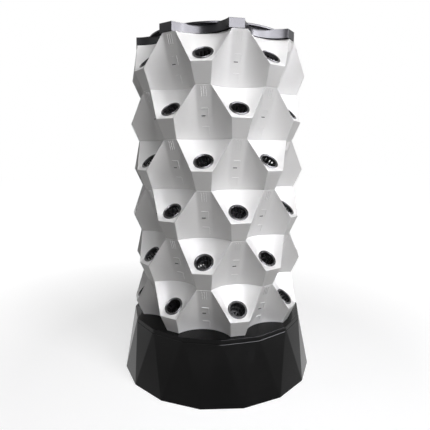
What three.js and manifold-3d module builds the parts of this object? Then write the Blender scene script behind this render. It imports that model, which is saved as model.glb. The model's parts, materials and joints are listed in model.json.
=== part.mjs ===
// A vertical planter tower: a faceted water tank with a pump, a deck on top of it, six identical
// stacked tiers of eight tilted pockets with a net cup in each, a riser pipe up the middle that
// feeds a spray head, and a scalloped lid. Millimetres, +Z up. The origin is the middle of the
// tank's underside, and the middle tab of the lid faces -Y.
import * as THREE from "three";
import { mergeVertices } from "three/addons/utils/BufferGeometryUtils.js";
import Module from "manifold-3d";

const wasm = await Module();
wasm.setup();

// Fits shared by the whole tower
const seatGap = 0.3; // between two pieces that rest on each other
const cutOver = 4; // how far a cutter runs past what it cuts
const roundSides = 12; // sides of a plain round piece
const holeSides = 8; // sides of a small plain hole
const halfShare = 0.5;
const weldShare = 0.001; // of the seat gap: corners closer than this are one corner
const slabShare = 3; // side of a slicing slab, per foot radius of the tank
const cornerSegments = 3; // straight sides of a rounded corner

// Tier: a shell whose seams are rings of flat tabs and concave arcs
const tierCount = 6;
const pocketCount = 8;
const tierPitch = 150;
const tierWall = 4.2; // measured level, through the rim
const tabReach = 267; // axis to the flat tab of a seam
const tabWidth = 45.8;
const valleyReach = 212; // axis to the deepest point of an arc
const apexReach = 291.8; // axis to the pocket's outermost edge
const apexWidth = 61.8;
const apexDrop = 92; // tier top down to that edge
const noseTaperShare = 0.6; // how much narrower the shell's inside is at the apex, per wall

// Pocket: a flat seat below the seam's arc, with the cup's hole through it
const seatTilt = 47; // degrees, how far the cup's axis rises
const seatDrop = 43; // tier top down to the upper end of the flat seat
const seatWidth = 62;
const cupRise = 40.5; // apex edge up the seat to the cup's axis

// Lugs that locate a tier in the mouth below it
const lugCount = 4;
const lugWidth = 30;
const lugWall = 4;
const lugDrop = 8;
const lugRoot = 7; // height of the root that joins the shell's inside
const lugClearance = 1;
const lugBite = 2.2; // how deep the root runs into the shell

// Net cup
const cupSides = 8;
const cupFlangeRadius = 30;
const cupFlangeThickness = 2;
const cupTopRadius = 25.6;
const cupFootRadius = 20;
const cupDepth = 50;
const cupWall = 1.6;
const cupHoleClearance = 1;

// Lid
const lidTwist = -2.24; // degrees, play in the mouth that the photographed lid has taken up
const lidTabReach = 268.1;
const lidTabWidth = 45.4;
const lidValleyReach = 214.5;
const lidHeight = 26.7;
const lidWall = 3.2;
const lidPlateRadius = 243;
const lidPlateThickness = 3;
const lidCrown = 2.5; // how far the plate stands above the tabs
const lidPlateSides = 48;
const lidLugWidth = 16;

// Tank and deck: a sixteen-sided antiprism cut by a level plane
const baseSides = 16;
const baseHeight = 203;
const baseFootRadius = 334.3; // to the corners
const baseRimRadius = 298.6;
const tankWall = 4;
const tankFloor = 5;
const deckSkirt = 12;
const rimLipWidth = 8;
const rimLipHeight = 2;
const recessFloor = 4.7; // deck thickness under the lowest tier
const recessClearance = 1.2;
const registerDrop = 8;
const registerWall = 3;
const registerClearance = 1;
const hubBoreRadius = 17.5;
const hubWall = 4;
const hubRise = 19;
const returnHoleRadius = 20;
const returnHoleReach = 110;

// Cable grommet
const grommetAngle = 157.5; // degrees round from the front
const grommetReach = 252;
const grommetBoreRadius = 4;
const grommetBodyRadius = 14;
const grommetFlange = 4;
const grommetFlangeHeight = 2.7;
const grommetLip = 2.5;

// Pump
const pumpLength = 80;
const pumpWidth = 70;
const pumpHeight = 62;
const pumpCorner = 10;
const pumpFront = 14; // riser axis to the pump's front face
const chamberRadius = 20;
const chamberDepth = 20;
const outletRadius = 12.5;
const outletBoreRadius = 8;
const outletRise = 22;
const bladeCount = 6;
const bladeReach = 17;
const bladeThickness = 1.6;
const bladeLength = 12;
const impellerHubRadius = 6;
const shaftRadius = 2;
const shaftLength = 18;
const bearingClearance = 0.5;
const coverRadius = 25;
const coverThickness = 3;
const intakeRadius = 8;
const strainerDepth = 34;
const strainerWall = 3;
const strainerSlotCount = 6;
const strainerSlotWidth = 4;
const strainerSlotHeight = 44;
const strainerSlotPitch = 9;
const footHeight = 9;
const footTopRadius = 8;
const footPadRadius = 12;
const footInset = 14; // pump's edge to a foot's axis
const footFrameWidth = 8;
const footFrameHeight = 3;

// Riser and spray head
const pipeRadius = 12.5;
const pipeBoreRadius = 10;
const socketRadius = 16.5;
const socketLength = 32;
const riserTopDrop = 18; // tier stack's top down to the end of the riser
const nozzleRadius = 17;
const nozzleTopWall = 4;
const nozzleChamber = 14;
const nozzleGrip = 16;
const jetCount = 6;
const jetRadius = 3;
const deflectorRadius = 70;
const deflectorThickness = 3;
const deflectorStemRadius = 3.6;
const stemClearance = 0.5;

// Sizes that follow
const turn = 360;
const quarterTurn = Math.PI / 2;
const fullTurn = Math.PI * 2;
const sector = turn / pocketCount;
const halfSector = THREE.MathUtils.degToRad(sector * halfShare);
const tierHeight = tierPitch - seatGap;
const deckTop = baseHeight - rimLipHeight;
const deckBottom = baseHeight - deckSkirt;
const stackBottom = deckBottom + recessFloor + seatGap;
const stackTop = stackBottom + tierCount * tierPitch;
const seatSlope = THREE.MathUtils.degToRad(turn / 4 - seatTilt);
const seatTopReach = apexReach - (apexDrop - seatDrop) / Math.tan(seatSlope);
const cupAxisReach = apexReach - cupRise * Math.cos(seatSlope);
const cupAxisDrop = apexDrop - cupRise * Math.sin(seatSlope);

const finishes = {
  tier: { color: 0xf3f3f1, roughness: 0.28, metalness: 0 },
  gloss: { color: 0x0c0c0e, roughness: 0.14, metalness: 0 },
  cup: { color: 0x171717, roughness: 0.45, metalness: 0 },
  pipe: { color: 0xd9d9d2, roughness: 0.4, metalness: 0 },
  pump: { color: 0x22262c, roughness: 0.5, metalness: 0 },
  rubber: { color: 0x1b1b1b, roughness: 0.8, metalness: 0 },
  spray: { color: 0x3a3d40, roughness: 0.4, metalness: 0 },
};

// Solids

function solidOf(geometry) {
  const bare = geometry.clone();
  bare.deleteAttribute("normal");
  bare.deleteAttribute("uv");
  const merged = mergeVertices(bare, seatGap * weldShare);
  const corners = Array.from(merged.index.array);
  const faces = [];
  for (let i = 0; i < corners.length; i += 3) {
    const [a, b, c] = corners.slice(i, i + 3);
    if (a !== b && b !== c && c !== a) faces.push(a, b, c);
  }
  const vertProperties = new Float32Array(merged.attributes.position.array);
  const triVerts = new Uint32Array(faces);
  return new wasm.Manifold(new wasm.Mesh({ numProp: 3, vertProperties, triVerts }));
}

function geometryOf(solid) {
  const mesh = solid.getMesh();
  const geometry = new THREE.BufferGeometry();
  geometry.setAttribute("position", new THREE.BufferAttribute(mesh.vertProperties, 3));
  geometry.setIndex(new THREE.BufferAttribute(mesh.triVerts, 1));
  geometry.computeVertexNormals();
  return geometry;
}

// A closed body through rings of points that run anticlockwise, lowest ring first.
function loft(rings) {
  const count = rings[0].length;
  const positions = rings.flat().flatMap((point) => point.toArray());
  const faces = [];
  for (let level = 0; level + 1 < rings.length; level += 1) {
    for (let i = 0; i < count; i += 1) {
      const next = (i + 1) % count;
      const low = level * count;
      const high = low + count;
      faces.push(low + i, low + next, high + i);
      faces.push(low + next, high + next, high + i);
    }
  }
  const last = (rings.length - 1) * count;
  for (const [a, b, c] of capFaces(rings[0])) faces.push(a, c, b);
  for (const [a, b, c] of capFaces(rings.at(-1))) faces.push(last + a, last + b, last + c);
  const geometry = new THREE.BufferGeometry();
  geometry.setAttribute("position", new THREE.Float32BufferAttribute(positions, 3));
  geometry.setIndex(faces);
  return solidOf(geometry);
}

function capFaces(ring) {
  const outline = ring.map((point) => new THREE.Vector2(point.x, point.y));
  return THREE.ShapeUtils.triangulateShape(outline, []);
}

// A turned body about the Z axis; the profile is pairs of radius and height, upwards outside.
function turned(profile, sides = roundSides) {
  const points = profile.map(([radius, height]) => new THREE.Vector2(radius, height));
  return new THREE.LatheGeometry(points, sides).rotateX(quarterTurn);
}

function rod(radius, low, high, sides = roundSides) {
  return turned([[0, low], [radius, low], [radius, high], [0, high]], sides);
}

function pipe(radius, bore, low, high, sides = roundSides) {
  return turned([[bore, low], [radius, low], [radius, high], [bore, high], [bore, low]], sides);
}

function block(width, depth, height, x, y, z) {
  return new THREE.BoxGeometry(width, depth, height).translate(x, y, z);
}

// A level slab wide enough to slice the whole tower.
function slab(low, high) {
  const side = baseFootRadius * slabShare;
  return solidOf(block(side, side, high - low, 0, 0, (low + high) * halfShare));
}

// The point at a reach from the axis and a sideways offset, in the direction that an angle
// in radians gives, turning from the front towards +X.
function pointAt(angle, reach, side, height) {
  const x = Math.sin(angle) * reach + Math.cos(angle) * side;
  const y = -Math.cos(angle) * reach + Math.sin(angle) * side;
  return new THREE.Vector3(x, y, height);
}

// Seam outline

// The arc between two tabs: its centre lies outside the tower, in the pocket's direction.
function seamArc(tab, width, valley) {
  const corner = fromRecess(tab, width * halfShare);
  const rise = corner.reach - valley;
  const radius = (rise ** 2 + corner.side ** 2) / (rise * 2);
  return { centre: valley + radius, radius };
}

// A point given about a recess's middle line, restated about the pocket's middle line.
function fromRecess(reach, side) {
  return {
    reach: reach * Math.cos(halfSector) + side * Math.sin(halfSector),
    side: reach * Math.sin(halfSector) - side * Math.cos(halfSector),
  };
}

// The same seam moved inwards by a wall: the arc keeps its centre, and the tab gets narrower.
function seamInset(tab, width, valley, inset) {
  const arc = seamArc(tab, width, valley);
  const radius = arc.radius + inset;
  const reach = tab - inset;
  const centreReach = arc.centre * Math.cos(halfSector);
  const centreSide = arc.centre * Math.sin(halfSector);
  const half = centreSide - Math.sqrt(radius ** 2 - (centreReach - reach) ** 2);
  return { tab: reach, half, centre: arc.centre, radius };
}

function arcPoint(seam, share) {
  const corner = fromRecess(seam.tab, seam.half);
  const span = Math.atan2(corner.side, seam.centre - corner.reach) * share;
  return { reach: seam.centre - seam.radius * Math.cos(span), side: seam.radius * Math.sin(span) };
}

function between(a, b, share) {
  return { reach: a.reach + (b.reach - a.reach) * share, side: a.side + (b.side - a.side) * share };
}

// Mirrors a half outline about each pocket's middle line and repeats it round the tower.
function ringOf(half, height, shift = 0) {
  const points = [];
  for (let pocket = 0; pocket < pocketCount; pocket += 1) {
    const angle = (pocket * 2 + shift) * halfSector;
    const mirrored = half.slice(1).reverse().map((p) => ({ reach: p.reach, side: -p.side }));
    for (const p of [...mirrored, ...half]) points.push(pointAt(angle, p.reach, p.side, height));
  }
  return points;
}

const arcShares = [0, 0.5, 1];

function seamRing(seam, height, shift = 0) {
  return ringOf(arcShares.map((share) => arcPoint(seam, share)), height, shift);
}

// Where the strip down the middle of a recess meets the arc of the seam below.
function stripFoot(seam) {
  return seam.centre - Math.sqrt(seam.radius ** 2 - seam.half ** 2);
}

// How far a recess's strip moves inwards for each millimetre that it goes down.
function recessLean() {
  const seam = seamInset(tabReach, tabWidth, valleyReach, 0);
  return (seam.tab - stripFoot(seam)) / tierHeight;
}

// Tier

// Half of a pocket's outline, from its middle to the corner of the recess's strip, at a share
// of the tier's height below its top, for the outside or, with an inset, the inside.
function tierHalf(share, inset) {
  const seam = seamInset(tabReach, tabWidth, valleyReach, inset);
  const apex = { reach: apexReach - inset, side: apexWidth * halfShare - inset * noseTaperShare };
  const apexShare = apexDrop / tierPitch;
  const topCorner = fromRecess(seam.tab, seam.half);
  const footCorner = { reach: seam.tab, side: seam.half };
  const low = (share - apexShare) / (1 - apexShare);
  const edge = share < apexShare
    ? between(topCorner, apex, share / apexShare)
    : between(apex, footCorner, low);
  const strip = fromRecess(seam.tab + (stripFoot(seam) - seam.tab) * share, seam.half);
  const face = faceHalf(share, apexShare, seam, edge, inset);
  return [...face, edge, wallMiddle(edge, strip, seam, share), strip];
}

// The two points inside the pocket's edges: on the seam's arc, at the seat's upper corner, or,
// where the outline runs straight across, at the edge itself.
function faceHalf(share, apexShare, seam, edge, inset) {
  if (share === 0) return [arcPoint(seam, 0), arcPoint(seam, halfShare)];
  const corner = { reach: seatTopReach - inset, side: seatWidth * halfShare };
  return share < apexShare ? [corner, corner] : [edge, edge];
}

// The recess's side wall is flat at the top and follows the seam's arc at the bottom.
function wallMiddle(edge, strip, seam, share) {
  const middle = between(edge, strip, halfShare);
  const centre = fromRecess(seam.centre, 0);
  const away = new THREE.Vector2(middle.reach - centre.reach, middle.side - centre.side).normalize();
  const outer = Math.asin(arcPoint(seam, 1).side / seam.radius);
  const inner = Math.asin(seam.half / seam.radius);
  const bulge = seam.radius * (1 - Math.cos((outer - inner) * halfShare)) * share;
  return { reach: middle.reach + away.x * bulge, side: middle.side + away.y * bulge };
}

const tierShares = [1, apexDrop / tierPitch, seatDrop / tierPitch, 0];

// A tier's outer form moved inwards by an inset and standing on a foot height; with an overrun
// it also runs straight on past both ends.
function tierSkin(inset, foot, over) {
  const rings = tierShares.map((share) => {
    return ringOf(tierHalf(share, inset), foot + (1 - share) * tierHeight);
  });
  if (over > 0) {
    rings.unshift(ringOf(tierHalf(1, inset), foot - over));
    rings.push(ringOf(tierHalf(0, inset), foot + tierHeight + over));
  }
  return loft(rings);
}

// Places what is modelled about a cup's axis, with its flange's seat at zero, into a pocket.
function inPocket(geometry, pocket) {
  const tilted = geometry.clone().rotateX(seatSlope);
  tilted.translate(0, -cupAxisReach, tierHeight - cupAxisDrop);
  return tilted.rotateZ(pocket * 2 * halfSector);
}

// An L-shaped lug under a tab. It leans as the recess below it does, into the mouth.
function lug(reach, wall, width, root, angle) {
  const outer = Math.min(reach, tabReach) - tierWall - lugClearance;
  const tip = outer - lugDrop * recessLean();
  const outline = [
    [tip - lugWall, -lugDrop],
    [tip, -lugDrop],
    [outer, seatGap],
    [reach - wall + lugBite, seatGap],
    [reach - wall + lugBite, root],
    [outer - lugWall, root],
  ];
  const shape = new THREE.Shape(outline.map(([x, y]) => new THREE.Vector2(x, y)));
  const bar = new THREE.ExtrudeGeometry(shape, { depth: width, bevelEnabled: false });
  bar.translate(0, 0, -width * halfShare).rotateX(quarterTurn).rotateZ(angle - quarterTurn);
  return solidOf(bar);
}

// The shell alone, or, with a cup given, the shell with its eight cups moulded in.
function tierGeometry(cup) {
  let tier = tierSkin(0, 0, 0).subtract(tierSkin(tierWall, 0, cutOver));
  const hole = rod(cupTopRadius + cupHoleClearance, -cupDepth * halfShare, cutOver, cupSides);
  for (let pocket = 0; pocket < pocketCount; pocket += 1) {
    tier = tier.subtract(solidOf(inPocket(hole, pocket)));
  }
  for (let i = 0; i < lugCount; i += 1) {
    const angle = THREE.MathUtils.degToRad(turn / lugCount) * i;
    tier = tier.add(lug(tabReach, tierWall, lugWidth, lugRoot, angle));
  }
  for (let pocket = 0; cup && pocket < pocketCount; pocket += 1) {
    tier = tier.add(solidOf(inPocket(cup, pocket)));
  }
  return geometryOf(tier);
}

function cupGeometry() {
  const top = seatGap + cupFlangeThickness;
  const floor = top - cupDepth;
  return turned([
    [0, floor],
    [cupFootRadius, floor],
    [cupTopRadius, seatGap],
    [cupFlangeRadius, seatGap],
    [cupFlangeRadius, top],
    [cupTopRadius - cupWall, top],
    [cupFootRadius - cupWall, floor + cupWall],
    [0, floor + cupWall],
  ], cupSides);
}

// Lid

function lidGeometry() {
  const outside = seamInset(lidTabReach, lidTabWidth, lidValleyReach, 0);
  const inside = seamInset(lidTabReach, lidTabWidth, lidValleyReach, lidWall);
  const ceiling = lidHeight + lidCrown - lidPlateThickness;
  const skirt = loft([seamRing(outside, 0, 1), seamRing(outside, lidHeight, 1)]);
  const hollow = loft([seamRing(inside, -cutOver, 1), seamRing(inside, ceiling - lidCrown, 1)]);
  const plate = rod(lidPlateRadius, ceiling - lidCrown, lidHeight + lidCrown, lidPlateSides);
  let lid = skirt.add(solidOf(plate)).subtract(hollow);
  for (let i = 0; i < pocketCount; i += 1) {
    const angle = THREE.MathUtils.degToRad(sector) * i;
    lid = lid.add(lug(lidTabReach, lidWall, lidLugWidth, lugRoot, angle));
  }
  return geometryOf(lid);
}

// Tank and deck

function antiprism(inset) {
  const corner = fullTurn / baseSides;
  const ring = (radius, shift, height) => {
    return Array.from({ length: baseSides }, (unused, i) => pointAt((i + shift) * corner, radius, 0, height));
  };
  return loft([
    ring(baseFootRadius - inset, 0, 0),
    ring(baseRimRadius - inset, halfShare, baseHeight),
  ]);
}

function tankGeometry() {
  const outside = antiprism(0).intersect(slab(0, deckBottom - seatGap));
  const inside = antiprism(tankWall).intersect(slab(tankFloor, baseHeight));
  return geometryOf(outside.subtract(inside));
}

function deckGeometry() {
  const recess = tierSkin(-recessClearance, deckBottom + recessFloor, 0);
  const lipInside = antiprism(rimLipWidth).intersect(slab(deckTop, baseHeight));
  const registerInset = tankWall + registerClearance;
  const register = antiprism(registerInset)
    .subtract(antiprism(registerInset + registerWall))
    .intersect(slab(deckBottom - registerDrop, deckBottom + registerWall));
  const hub = rod(hubBoreRadius + hubWall, deckBottom, deckBottom + recessFloor + hubRise);
  let deck = antiprism(0).intersect(slab(deckBottom, baseHeight)).subtract(lipInside).subtract(recess);
  deck = deck.add(register).add(solidOf(hub));
  for (const hole of deckHoles()) deck = deck.subtract(solidOf(hole));
  return geometryOf(deck);
}

function deckHoles() {
  const low = deckBottom - cutOver;
  const high = deckBottom + recessFloor + cutOver;
  const holes = [rod(hubBoreRadius, low, high + hubRise)];
  const grommetHole = rod(grommetBodyRadius + seatGap, low, baseHeight);
  holes.push(atAngle(grommetHole, grommetReach, THREE.MathUtils.degToRad(grommetAngle)));
  for (let i = 0; i < pocketCount; i += 1) {
    const angle = (i * 2 + 1) * halfSector;
    holes.push(atAngle(rod(returnHoleRadius, low, high, holeSides), returnHoleReach, angle));
  }
  for (let i = 0; i < lugCount; i += 1) {
    const width = lugWidth + lugClearance * 2;
    const swept = lugWall + lugDrop * recessLean();
    const depth = swept + lugClearance * 2;
    const reach = tabReach - tierWall - lugClearance - swept * halfShare;
    const slot = block(width, depth, high - low, 0, 0, (low + high) * halfShare);
    holes.push(atAngle(slot, reach, THREE.MathUtils.degToRad(turn / lugCount) * i));
  }
  return holes;
}

function atAngle(geometry, reach, angle) {
  return geometry.translate(0, -reach, 0).rotateZ(angle);
}

function grommetGeometry() {
  const low = deckBottom - seatGap;
  const high = deckTop + seatGap;
  return turned([
    [grommetBoreRadius, low - grommetFlangeHeight],
    [grommetBodyRadius + grommetLip, low - grommetFlangeHeight],
    [grommetBodyRadius + grommetLip, low],
    [grommetBodyRadius, low],
    [grommetBodyRadius, high],
    [grommetBodyRadius + grommetFlange, high],
    [grommetBodyRadius + grommetFlange, high + grommetFlangeHeight],
    [grommetBoreRadius, high + grommetFlangeHeight],
    [grommetBoreRadius, low - grommetFlangeHeight],
  ]);
}

// Pump, modelled with the impeller's axis along X and its middle at the origin

function roundedBar(width, height, corner, low, high) {
  const x = width * halfShare;
  const y = height * halfShare;
  const shape = new THREE.Shape();
  shape.absarc(x - corner, y - corner, corner, 0, quarterTurn);
  shape.absarc(corner - x, y - corner, corner, quarterTurn, quarterTurn * 2);
  shape.absarc(corner - x, corner - y, corner, quarterTurn * 2, quarterTurn * 3);
  shape.absarc(x - corner, corner - y, corner, quarterTurn * 3, fullTurn);
  const options = { depth: high - low, bevelEnabled: false, curveSegments: cornerSegments };
  const bar = new THREE.ExtrudeGeometry(shape, options).translate(0, 0, low);
  return bar.rotateX(quarterTurn).rotateZ(quarterTurn);
}

function alongX(geometry) {
  return geometry.rotateY(quarterTurn);
}

function pumpGeometry() {
  const back = pumpFront - pumpLength;
  const chamberBack = pumpFront - chamberDepth;
  const top = pumpHeight * halfShare;
  const bearing = rod(shaftRadius + bearingClearance, chamberBack - shaftLength, pumpFront);
  const pump = solidOf(roundedBar(pumpWidth, pumpHeight, pumpCorner, back, pumpFront))
    .add(solidOf(rod(outletRadius, 0, top + outletRise)))
    .subtract(solidOf(alongX(rod(chamberRadius, chamberBack, pumpFront + cutOver))))
    .subtract(solidOf(alongX(bearing)))
    .subtract(solidOf(rod(outletBoreRadius, 0, top + outletRise + cutOver)));
  return geometryOf(pump);
}

function impellerGeometry() {
  const chamberBack = pumpFront - chamberDepth;
  const low = chamberBack + (chamberDepth - bladeLength) * halfShare;
  const high = low + bladeLength;
  const shaftLow = chamberBack - shaftLength + bearingClearance;
  let impeller = solidOf(rod(impellerHubRadius, low, high)).add(solidOf(rod(shaftRadius, shaftLow, high)));
  for (let i = 0; i < bladeCount; i += 1) {
    const blade = block(bladeReach, bladeThickness, bladeLength, bladeReach * halfShare, 0, 0);
    blade.translate(0, 0, (low + high) * halfShare).rotateZ((fullTurn / bladeCount) * i);
    impeller = impeller.add(solidOf(blade));
  }
  return alongX(geometryOf(impeller));
}

function intakeCoverGeometry() {
  const low = pumpFront + seatGap;
  return alongX(pipe(coverRadius, intakeRadius, low, low + coverThickness));
}

function strainerGeometry() {
  const low = pumpFront + seatGap;
  const high = low + strainerDepth;
  const wall = strainerWall;
  const inner = high - wall;
  const innerWidth = pumpWidth - wall * 2;
  const innerHeight = pumpHeight - wall * 2;
  const innerCorner = pumpCorner - wall;
  let cage = solidOf(roundedBar(pumpWidth, pumpHeight, pumpCorner, low, high));
  cage = cage.subtract(solidOf(roundedBar(innerWidth, innerHeight, innerCorner, low - cutOver, inner)));
  for (let i = 0; i < strainerSlotCount; i += 1) {
    const y = (i - (strainerSlotCount - 1) * halfShare) * strainerSlotPitch;
    const slot = block(wall + cutOver, strainerSlotWidth, strainerSlotHeight, high - wall * halfShare, y, 0);
    cage = cage.subtract(solidOf(slot));
  }
  return geometryOf(cage);
}

// Four suction feet moulded on a rubber frame that lies against the pump's underside.
function pumpFeetGeometry() {
  const x = pumpLength * halfShare - footInset;
  const y = pumpWidth * halfShare - footInset;
  const z = footHeight - footFrameHeight * halfShare;
  const rail = block(x * 2, footFrameWidth, footFrameHeight, 0, 0, z);
  const tie = block(footFrameWidth, y * 2, footFrameHeight, 0, 0, z);
  let feet = solidOf(tie);
  for (const side of [-y, y]) {
    feet = feet.add(solidOf(rail.clone().translate(0, side, 0)));
    for (const end of [-x, x]) {
      const foot = turned([[0, 0], [footPadRadius, 0], [footTopRadius, footHeight], [0, footHeight]]);
      feet = feet.add(solidOf(foot.translate(end, side, 0)));
    }
  }
  return geometryOf(feet).translate(pumpFront - pumpLength * halfShare, 0, 0);
}

// Riser and spray head

function nozzleGeometry() {
  const top = nozzleChamber + nozzleTopWall;
  const grip = pipeRadius + seatGap;
  let nozzle = solidOf(turned([
    [grip, -nozzleGrip],
    [nozzleRadius, -nozzleGrip],
    [nozzleRadius, top],
    [deflectorStemRadius + stemClearance, top],
    [deflectorStemRadius + stemClearance, nozzleChamber],
    [pipeBoreRadius, nozzleChamber],
    [pipeBoreRadius, seatGap],
    [grip, seatGap],
    [grip, -nozzleGrip],
  ]));
  for (let i = 0; i < jetCount; i += 1) {
    const jet = alongX(rod(jetRadius, 0, nozzleRadius + cutOver, holeSides));
    jet.translate(0, 0, nozzleChamber * halfShare);
    nozzle = nozzle.subtract(solidOf(jet.rotateZ((fullTurn / jetCount) * i)));
  }
  return geometryOf(nozzle);
}

function deflectorGeometry() {
  const plate = solidOf(rod(deflectorRadius, 0, deflectorThickness, roundSides * 2));
  return geometryOf(plate.add(solidOf(rod(deflectorStemRadius, -nozzleTopWall, deflectorThickness))));
}

// Assembly

const tower = new THREE.Group();

function place(name, geometry, finish, z = 0, angle = 0, parent = tower) {
  const mesh = new THREE.Mesh(geometry, new THREE.MeshStandardMaterial(finishes[finish]));
  mesh.name = name;
  mesh.position.z = z;
  mesh.rotation.z = angle;
  parent.add(mesh);
  return mesh;
}

// Tiers are numbered from the top. The lowest has loose cups, and the others have theirs moulded in.
function placeTiers() {
  const cup = cupGeometry();
  const openShell = tierGeometry();
  const cuppedShell = tierGeometry(cup.clone().translate(0, 0, -seatGap * 2));
  for (let number = 1; number <= tierCount; number += 1) {
    const tier = new THREE.Group();
    tier.position.z = stackTop - number * tierPitch;
    tier.rotation.z = number % 2 === 1 ? halfSector : 0;
    tower.add(tier);
    const loose = number === tierCount;
    place(`tier_${number}`, loose ? openShell : cuppedShell, "tier", 0, 0, tier);
    for (let pocket = 0; loose && pocket < pocketCount; pocket += 1) {
      place(`net_cup_${number}_${pocket + 1}`, inPocket(cup, pocket), "cup", 0, 0, tier);
    }
  }
}

function placeBase() {
  place("tank", tankGeometry(), "gloss");
  place("deck", deckGeometry(), "gloss");
  const angle = THREE.MathUtils.degToRad(grommetAngle);
  const grommet = place("cable_grommet", grommetGeometry(), "rubber", 0, angle);
  grommet.position.copy(pointAt(angle, grommetReach, 0, 0));
}

function placePump() {
  const feetBottom = tankFloor + seatGap;
  const middle = feetBottom + footHeight + seatGap + pumpHeight * halfShare;
  place("pump_feet", pumpFeetGeometry(), "rubber", feetBottom);
  place("pump_body", pumpGeometry(), "pump", middle);
  place("pump_impeller", impellerGeometry(), "pipe", middle);
  place("pump_intake_cover", intakeCoverGeometry(), "pump", middle);
  place("pump_strainer", strainerGeometry(), "spray", middle);
  return middle + pumpHeight * halfShare + outletRise;
}

function placeRiser(outletTop) {
  const top = stackTop - riserTopDrop;
  const length = top - outletTop - seatGap;
  const half = socketLength * halfShare;
  place("riser_socket", pipe(socketRadius, pipeRadius + seatGap, -half, half), "pipe", outletTop);
  place("riser_pipe", pipe(pipeRadius, pipeBoreRadius, 0, length), "pipe", outletTop + seatGap);
  place("spray_nozzle", nozzleGeometry(), "spray", top);
  place("spray_deflector", deflectorGeometry(), "spray", top + nozzleChamber + nozzleTopWall + seatGap);
}

placeBase();
placeRiser(placePump());
placeTiers();
place("lid", lidGeometry(), "gloss", stackTop, THREE.MathUtils.degToRad(lidTwist));

export default tower;
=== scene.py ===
"""Looks of a vertical planter tower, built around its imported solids.

Lengths are millimetres until a mesh is finished, and metres in Blender. The origin is the middle
of the tank's underside, +Z is up, and the lid's middle tab faces -Y.
"""
import json
from functools import cache
from math import atan2, cos, hypot, pi, radians, sin, sqrt

import bmesh
import bpy
import numpy as np
from mathutils import Matrix, Vector


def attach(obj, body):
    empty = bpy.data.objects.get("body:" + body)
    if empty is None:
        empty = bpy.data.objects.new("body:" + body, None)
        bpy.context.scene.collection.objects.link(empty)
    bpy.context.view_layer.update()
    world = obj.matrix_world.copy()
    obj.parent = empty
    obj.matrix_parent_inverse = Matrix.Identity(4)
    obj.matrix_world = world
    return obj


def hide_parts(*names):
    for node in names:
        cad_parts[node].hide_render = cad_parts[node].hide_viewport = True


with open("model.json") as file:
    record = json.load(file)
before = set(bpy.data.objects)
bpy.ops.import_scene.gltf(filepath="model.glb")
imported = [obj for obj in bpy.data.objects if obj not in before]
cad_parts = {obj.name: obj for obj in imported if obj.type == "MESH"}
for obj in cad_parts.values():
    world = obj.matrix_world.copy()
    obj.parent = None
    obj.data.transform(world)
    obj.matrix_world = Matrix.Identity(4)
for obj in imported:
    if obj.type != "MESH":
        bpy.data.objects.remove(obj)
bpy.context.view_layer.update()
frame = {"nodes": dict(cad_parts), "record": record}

MM = 0.001
WELD = 5e-6  # metres: corners closer than this are one corner

# Fits
SEAT_GAP = 0.3

# Tier
TIERS = 6
POCKETS = 8
SECTOR = 2 * pi / POCKETS
HALF = SECTOR / 2
PITCH = 150.0
HEIGHT = PITCH - SEAT_GAP
WALL = 4.2
TAB_REACH, TAB_WIDTH, VALLEY = 267.0, 45.8, 212.0
APEX_REACH, APEX_WIDTH, APEX_DROP = 291.8, 61.8, 92.0
NOSE_TAPER = 0.6
SEAT_SLOPE = radians(43)
CUP_RISE = 40.5
HOLE = 26.6
FLAT = 31.5
APEX_SHARE = APEX_DROP / PITCH
APEX_Z = (1 - APEX_SHARE) * HEIGHT
STACK_TOP = 1096.0
LUGS = 4
LUG_WIDTH, LUG_WALL, LUG_DROP, LUG_ROOT = 30.0, 4.0, 8.0, 7.0
LUG_CLEARANCE, LUG_BITE = 1.0, 2.2

# Steps across the tier's surfaces
EDGE_STEPS = 16  # down a pocket's side, from the seam to the apex
NOSE_STEPS = 10  # from the apex to the foot
APEX_STEPS = 10
ARC_STEPS = 28
RECESS_STEPS = 48
WALL_POINTS, STRIP_POINTS, FINE_POINTS = 24, 12, 800  # across a recess, before and after its folds soften
LID_ARC_STEPS = 24
CORNER_STEPS = 6  # round each corner of the pump's case
MARK_DROPS = {"Bars": 18.0, "Upper": 74.0, "Lower": 124.0}  # middle of each group below the top
MARK_SPAN = 2.0  # up and down from there, over which the strip's lean is read
SLOT_SHADE_ASIDE, SLOT_SHADE_DOWN = -0.7, -0.8  # of half the dark bar's width, and of half the frame's height; the bar is painted shade for a slot's shaded inside
FOLD_WIDTH = 4.0  # half the width of the soft fold between a recess's strip and its walls

# Net cup
CUP_FLANGE, CUP_TOP, CUP_FOOT, CUP_DEPTH = 30.0, 25.4, 20.0, 50.0
CUP_RIBS, CUP_HUB, CUP_FLOOR = 14, 4.0, -46.9
CUP_REACH, CUP_LEVEL = 262.18, 85.32  # the mouth's middle, on its seat

# Lid
LID_TWIST = radians(-2.24)
LID_TAB, LID_TAB_WIDTH, LID_VALLEY = 268.1, 45.4, 214.5
LID_HEIGHT, LID_WALL, LID_PLATE, LID_PLATE_THICK, LID_CROWN = 26.7, 3.2, 230.0, 3.0, 2.5
LID_LUG_WIDTH = 16.0
LID_SIDES = 160  # round the plate

# Tank and deck
SIDES = 16
BASE_HEIGHT, BASE_FOOT, BASE_RIM = 203.0, 334.3, 298.6
TANK_WALL, TANK_FLOOR = 4.0, 5.0
DECK_SKIRT, RIM_LIP_WIDTH, RIM_LIP_HEIGHT = 12.0, 8.0, 2.0
DECK_TOP, DECK_BOTTOM = BASE_HEIGHT - RIM_LIP_HEIGHT, BASE_HEIGHT - DECK_SKIRT
RECESS_FLOOR, RECESS_CLEARANCE = 4.7, 1.2
RECESS_LEVELS = (0.0, 8.0, 16.0)
REGISTER_DROP, REGISTER_WALL, REGISTER_CLEARANCE = 8.0, 3.0, 1.0
HUB_BORE, HUB_WALL, HUB_RISE = 17.5, 4.0, 19.0
RETURN_HOLE, RETURN_REACH = 20.0, 110.0

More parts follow.
